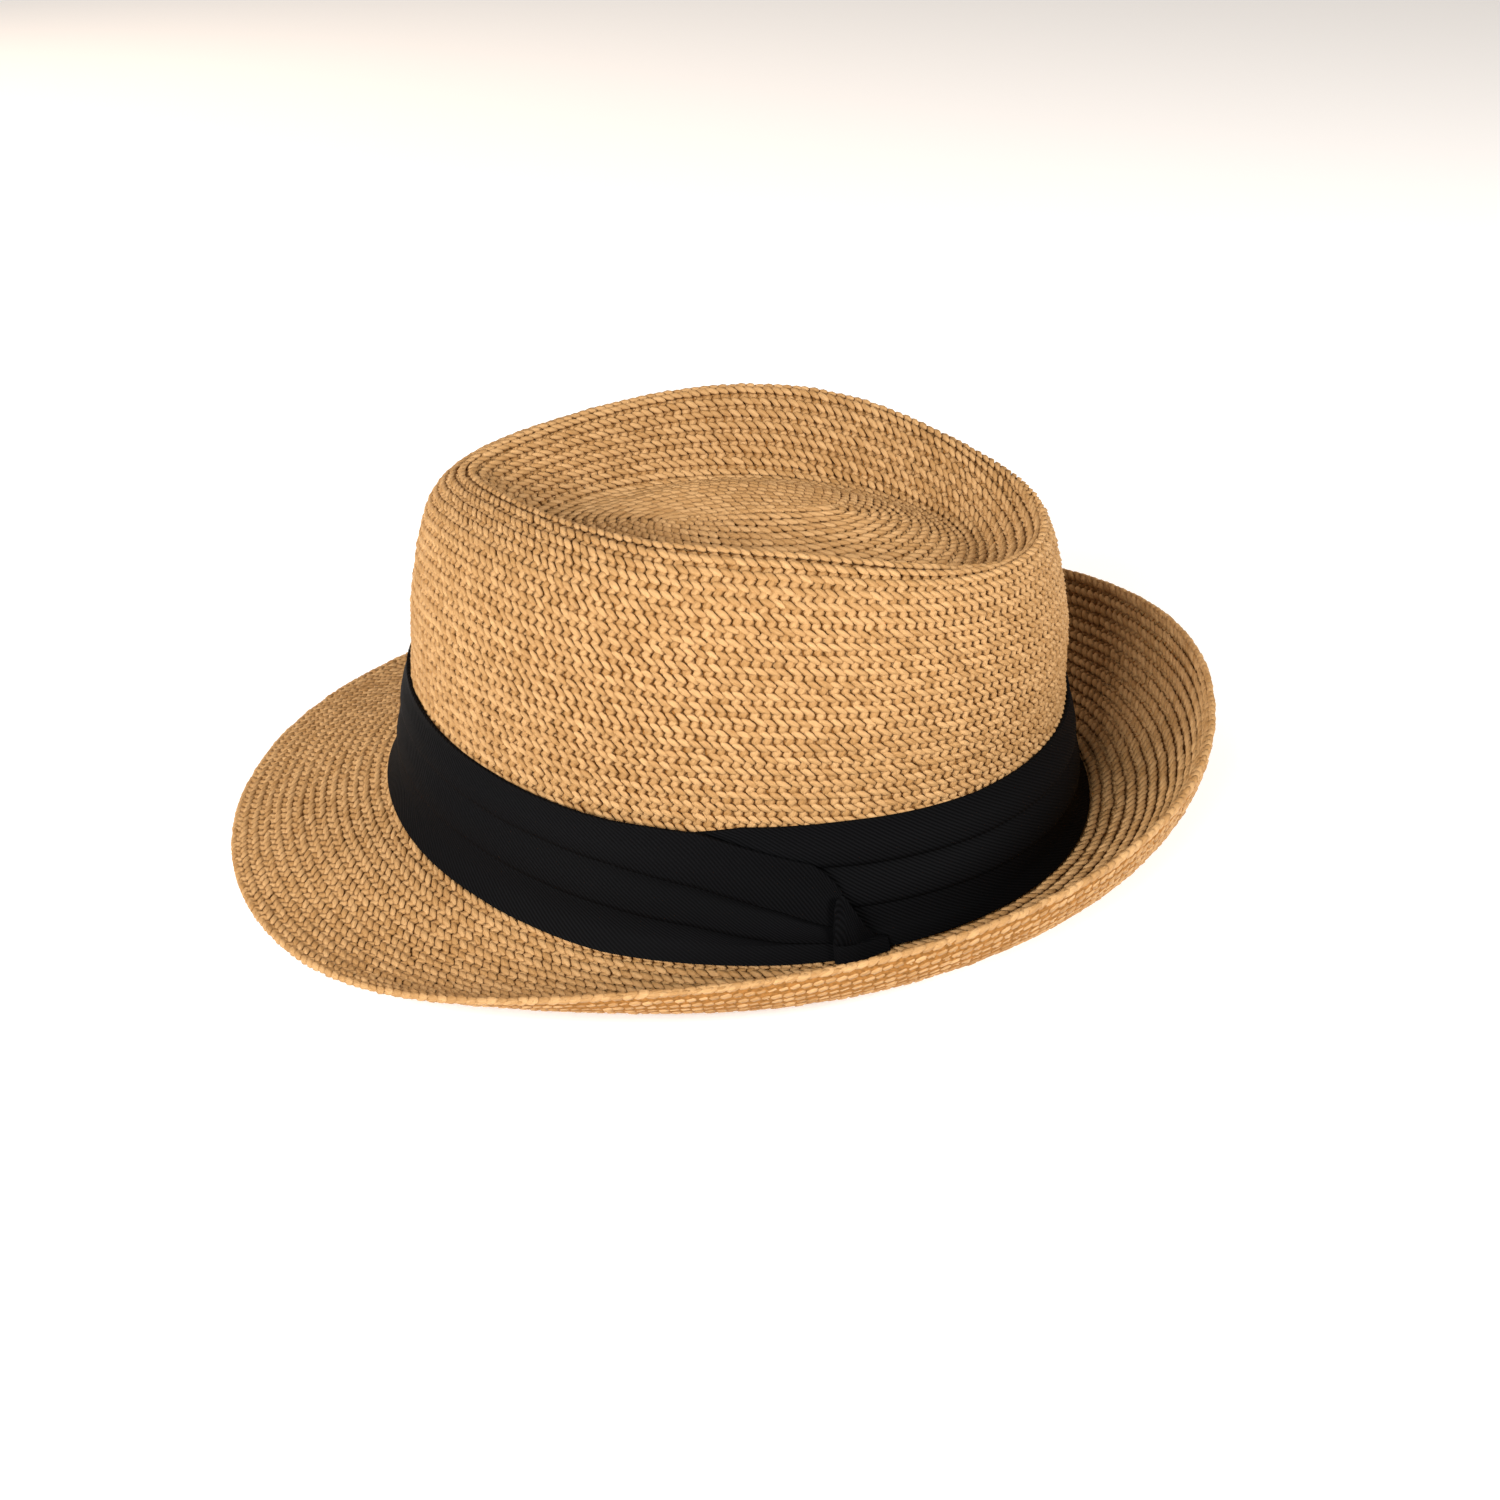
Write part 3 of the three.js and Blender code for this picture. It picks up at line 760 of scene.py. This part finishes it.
# The strip by degrees round the crown: the shares of the band's height at which its top and its
# two pleats lie, how far it is lifted over its own start, how deep its pleats lap, and whether
# its foot reaches the brim.
BAND_TABLE = [
    dict(turn=84, top=0.84, upper=0.66, lower=0.36, lift=0, lap=0.5, foot=0),
    dict(turn=90, top=0.93, upper=0.68, lower=0.35, lift=0, lap=0.7, foot=0),
    dict(turn=96, top=0.985, upper=0.68, lower=0.34, lift=0, lap=1, foot=0),
    dict(turn=110, top=1, upper=0.67, lower=0.34, lift=0, lap=1, foot=0),
    dict(turn=114, top=1, upper=0.66, lower=0.33, lift=0, lap=1, foot=1),
    dict(turn=138, top=0.965, upper=0.63, lower=0.31, lift=0, lap=1, foot=1),
    dict(turn=180, top=0.955, upper=0.62, lower=0.31, lift=0, lap=1, foot=1),
    dict(turn=360, top=0.955, upper=0.65, lower=0.33, lift=0, lap=1, foot=1),
    dict(turn=414, top=0.955, upper=0.65, lower=0.32, lift=0, lap=1, foot=1),
    dict(turn=426, top=0.955, upper=0.65, lower=0.31, lift=0.35, lap=1, foot=1),
    dict(turn=438, top=0.96, upper=0.63, lower=0.29, lift=1, lap=1, foot=1),
    dict(turn=444, top=0.965, upper=0.59, lower=0.26, lift=1, lap=1, foot=1),
    dict(turn=450, top=0.955, upper=0.54, lower=0.23, lift=1, lap=1, foot=1),
    dict(turn=456, top=0.86, upper=0.45, lower=0.17, lift=1, lap=1, foot=1),
    dict(turn=462, top=0.77, upper=0.36, lower=0.12, lift=1, lap=0.9, foot=1),
    dict(turn=467, top=0.7, upper=0.26, lower=0.1, lift=1, lap=0.8, foot=1),
    dict(turn=470, top=0.55, upper=0.21, lower=0.09, lift=1, lap=0.7, foot=1),
    dict(turn=472, top=0.4, upper=0.2, lower=0.09, lift=1, lap=0.6, foot=1),
]

# The strip's profile from its foot up: below the lower pleat by shares of that pleat's height;
# each pleat by parts of its depth (deep) and of what is seen of it (seen), with its distance off
# the straw and the part of its standing out (proud) that is added; and its turned top edge.
FOOT_ROWS = 4
FOOT_PROFILE = [(0, 0.0005)] * FOOT_ROWS + [(0.45, 0.0009), (0.75, 0.0008), (1, 0.0005)]
PLEAT_PROFILE = [
    dict(deep=0.6, seen=0, off=0.0003, proud=0),
    dict(deep=0.95, seen=0, off=0.00035, proud=0),
    dict(deep=1, seen=0, off=0.0006, proud=0),
    dict(deep=0.95, seen=0, off=0.0009, proud=0),
    dict(deep=0.5, seen=0, off=0.001, proud=0),
    dict(deep=0.12, seen=0, off=-0.0006, proud=1),
    dict(deep=0, seen=0, off=-0.0003, proud=1),
    dict(deep=0.1, seen=0, off=0, proud=1),
    dict(deep=0.4, seen=0, off=0, proud=1),
    dict(deep=0, seen=0.45, off=-0.0003, proud=1),
    dict(deep=0, seen=0.75, off=0.0007, proud=0),
]
PLEAT_END = 0.01
UNDER_NEXT_PLEAT = 0.0004
UNDER_TOP_EDGE = 0.0009
TOP_PROFILE = [(-0.003, 0.0009), (0, 0.0006), (-0.003, 0.0003), (-0.06, 0.0003)]
FOOT_OUT = 0.0004
RAISED_FOOT = 0.6

TWILL_COLOUR = (0.0021, 0.0021, 0.0024)
TWILL_SHADES = (0.55, 1.6)
TWILL_ROUGHNESS = 0.65
TWILL_GLOSS = 0.035
TWILL_LEAN = math.radians(32)
TWILL_SCALE = 0.36
TWILL_DISTORTION = 0.6
TWILL_DETAIL = 2
TWILL_STRENGTH = 0.5
TWILL_DEPTH = 0.0002


def band_course(angle, share):
    """The course of the straw at a share of the band's height, or below 0 of the corner."""
    column = np.rint(np.mod(angle, FULL_TURN) / FULL_TURN * (len(columns) - 1)).astype(int)
    row = (crown_places[0] - np.maximum(share, corner_place)) / (crown_places[0] - crown_places[-1])
    row = row * (len(crown_places) - 1)
    upper = np.clip(row.astype(int), 0, len(crown_places) - 2)
    part = row - upper
    on_wall = crown_courses[upper, column] * (1 - part) + crown_courses[upper + 1, column] * part
    return np.where(share < 0, CROWN_COURSES - share * CORNER_COURSES, on_wall)


def from_table(table, key, turn):
    """A value of a table by degrees round the crown, at the turns that are asked for."""
    return np.interp(turn, [row["turn"] for row in table], [row[key] for row in table])


def band_rows(turn):
    """The band's folded profile at each turn: shares of its height, and distances off the straw."""
    top, upper, lower, lift, lap = (
        from_table(BAND_TABLE, key, turn) for key in ("top", "upper", "lower", "lift", "lap")
    )
    base = BAND_GAP + lift * BAND_LAYER
    deep = PLEAT_DEPTH * lap
    proud = LEAST_PROUD + LAP_PROUD * lap
    profile = [(lower * share, off) for share, off in FOOT_PROFILE]
    for edge, above, end in ((lower, upper, UNDER_NEXT_PLEAT), (upper, top, UNDER_TOP_EDGE)):
        for row in PLEAT_PROFILE:
            height = edge + deep * row["deep"] + (above - edge) * row["seen"]
            profile.append((height, row["off"] + proud * row["proud"]))
        profile.append((above - PLEAT_END, end))
    profile += [(top + share, off) for share, off in TOP_PROFILE]
    shares = np.stack([height + 0 * turn for height, _ in profile], -1)
    distances = np.stack([base + off + 0 * turn for _, off in profile], -1)
    return shares, distances


def foot_points(angle, distance):
    """Where cloth that stands a distance off the wall meets the brim."""
    course = FIRST_FLAT_COURSE + (distance - BAND_GAP) / COURSE
    return knit(angle, course, 0 * angle + BAND_GAP + CLOTH / 2)


def cloth_threads(piece, points):
    """Writes how far each point lies along and across the cloth, in millimetres, for its twill."""
    along = np.linalg.norm(np.diff(points[:, points.shape[1] // 2], axis=0), axis=1)
    across = np.linalg.norm(np.diff(points, axis=1), axis=2).mean(0)
    along = np.cumsum([0, *along]) * MILLIMETRES
    across = np.cumsum([0, *across]) * MILLIMETRES
    threads = np.stack([*np.meshgrid(along, across, indexing="ij"), np.zeros(points.shape[:2])], -1)
    places = np.empty(len(piece.data.vertices) * 3, np.float32)
    piece.data.vertices.foreach_get("co", places)
    nearest = KDTree(len(piece.data.vertices))
    for number, place in enumerate(places.reshape(-1, 3)):
        nearest.insert(place, number)
    nearest.balance()
    values = np.zeros((len(piece.data.vertices), 3), np.float32)
    for section in range(points.shape[0]):
        for row in range(points.shape[1]):
            values[nearest.find(points[section, row])[1]] = threads[section, row]
    written = piece.data.attributes.new("threads", "FLOAT_VECTOR", "POINT")
    written.data.foreach_set("vector", values.ravel())


def cloth_piece(name, points):
    """A sheet of cloth laid on rows and columns of points, with its threads and its thickness."""
    def place(x, y):
        section = np.rint(x * (points.shape[0] - 1)).astype(int)
        row = np.rint(y * (points.shape[1] - 1)).astype(int)
        return points[section, row]

    piece = laid_grid(name, points.shape[0] - 1, points.shape[1] - 1, place)
    cloth_threads(piece, points)
    bpy.ops.object.modifier_add(type="SOLIDIFY")
    piece.modifiers["Solidify"].thickness = CLOTH
    piece.modifiers["Solidify"].offset = 0
    bpy.ops.object.modifier_apply(modifier="Solidify")
    bpy.ops.object.shade_smooth_by_angle(angle=CLOTH_SMOOTH)
    return piece


def black_cotton():
    """Matt black cotton with fine diagonal twill lines, in tone and in relief."""
    material, _ = new_finish("black_cotton_twill", TWILL_ROUGHNESS, TWILL_GLOSS)
    nodes, links = material.node_tree.nodes, material.node_tree.links
    threads = nodes.new("ShaderNodeAttribute")
    threads.attribute_name = "threads"
    leaned = nodes.new("ShaderNodeMapping")
    leaned.inputs["Rotation"].default_value = (0, 0, TWILL_LEAN)
    links.new(threads.outputs["Vector"], leaned.inputs["Vector"])
    twill = nodes.new("ShaderNodeTexWave")
    twill.bands_direction = "Y"
    twill.inputs["Scale"].default_value = TWILL_SCALE
    twill.inputs["Distortion"].default_value = TWILL_DISTORTION
    twill.inputs["Detail"].default_value = TWILL_DETAIL
    links.new(leaned.outputs["Vector"], twill.inputs["Vector"])
    two_tones(material, twill.outputs["Fac"], (0, 1), shades(TWILL_COLOUR, TWILL_SHADES))
    ridged(material, twill.outputs["Fac"], TWILL_STRENGTH, TWILL_DEPTH)
    return material


band_turns = np.arange(BAND_TABLE[0]["turn"], BAND_TABLE[-1]["turn"], BAND_STEP)
band_shares, band_distances = band_rows(band_turns)
band_angles = np.radians(band_turns)[:, None] + 0 * band_shares
band_points = knit(band_angles, band_course(band_angles, band_shares), band_distances)

on_brim = from_table(BAND_TABLE, "foot", band_turns)[:, None] > 0.5
band_foot = foot_points(band_angles[:, 0], band_distances[:, 0] + FOOT_OUT)
raised_foot = band_points[:, FOOT_ROWS] * RAISED_FOOT + band_foot * (1 - RAISED_FOOT)
band_foot = np.where(on_brim, band_foot, raised_foot)
for row in range(FOOT_ROWS):
    share = row / FOOT_ROWS
    band_points[:, row] = band_foot * (1 - share) + band_points[:, FOOT_ROWS] * share

black_twill = black_cotton()
hatband = cloth_piece("pleated_band", band_points)
hatband.data.materials.append(black_twill)
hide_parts("hatband")
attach(hatband, "root")


# Tuck
# A small three-cornered wrap of the same twill that holds the gathered end of the band: it is
# wound over the band's layers, its top edge turned in and its foot pushed down to the brim.
TUCK_COLUMNS = 26
TUCK_ROWS = 24
TUCK_BENT_ROWS = 8
TUCK_TURNED_ROWS = 4
TUCK_GAP = 0.0004
TUCK_FOOT_OUT = 0.0003
TUCK_CORNER = -0.2
TUCK_LEAST_HEIGHT = 0.05
TUCK_TURN_IN = 0.04
TUCK_TURNED_UNDER = 0.0005
SWELL_LEAST = 0.0002
SWELL_BULGE = 0.0007
SWELL_START = 0.15
SWELL_WAVE = 0.0001
SWELL_WAVES = 14

# The wrap by degrees round the crown: how high it reaches in shares of the band's height, how many
# layers of the band lie under it, and how far it swells.
TUCK_TABLE = [
    dict(turn=109.4, top=0.1, layers=1.9, swell=0),
    dict(turn=109.8, top=0.4, layers=2, swell=0.5),
    dict(turn=110.3, top=0.46, layers=2, swell=0.8),
    dict(turn=111, top=0.47, layers=2, swell=1),
    dict(turn=112.8, top=0.32, layers=1.95, swell=1),
    dict(turn=114.6, top=0.17, layers=1.5, swell=1),
    dict(turn=116.4, top=0.09, layers=1.15, swell=0.9),
    dict(turn=118, top=-0.15, layers=1, swell=0.4),
]

tuck_turns = np.linspace(TUCK_TABLE[0]["turn"], TUCK_TABLE[-1]["turn"], TUCK_COLUMNS)
tuck_top, tuck_layers, tuck_swell = (
    from_table(TUCK_TABLE, key, tuck_turns) for key in ("top", "layers", "swell")
)
tuck_angles = np.radians(tuck_turns)
tuck_base = BAND_GAP + tuck_layers * BAND_LAYER + TUCK_GAP
tuck_corner = np.minimum(TUCK_CORNER, tuck_top - TUCK_LEAST_HEIGHT)
tuck_points = np.empty((TUCK_COLUMNS, TUCK_ROWS + TUCK_TURNED_ROWS, 3))
for row in range(TUCK_ROWS):
    share = row / (TUCK_ROWS - 1)
    height = tuck_corner + (tuck_top - tuck_corner) * share
    bulge = SWELL_BULGE * math.sin(math.pi * min(1, SWELL_START + share))
    swell = tuck_swell * (SWELL_LEAST + bulge + SWELL_WAVE * math.sin(SWELL_WAVES * share))
    tuck_points[:, row] = knit(tuck_angles, band_course(tuck_angles, height), tuck_base + swell)
tuck_foot = foot_points(tuck_angles, tuck_base + TUCK_FOOT_OUT * tuck_swell)
for row in range(TUCK_BENT_ROWS):
    share = row / TUCK_BENT_ROWS
    tuck_points[:, row] = tuck_foot * (1 - share) + tuck_points[:, TUCK_BENT_ROWS] * share
for row in range(TUCK_TURNED_ROWS):
    share = (row + 1) / TUCK_TURNED_ROWS
    course = band_course(tuck_angles, tuck_top - TUCK_TURN_IN * share)
    under = tuck_base - TUCK_TURNED_UNDER * min(1, 2 * share)
    tuck_points[:, TUCK_ROWS + row] = knit(tuck_angles, course, under)

tuck = cloth_piece("cloth_tuck", tuck_points)
tuck.data.materials.append(black_twill)
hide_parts("band_tuck")
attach(tuck, "root")
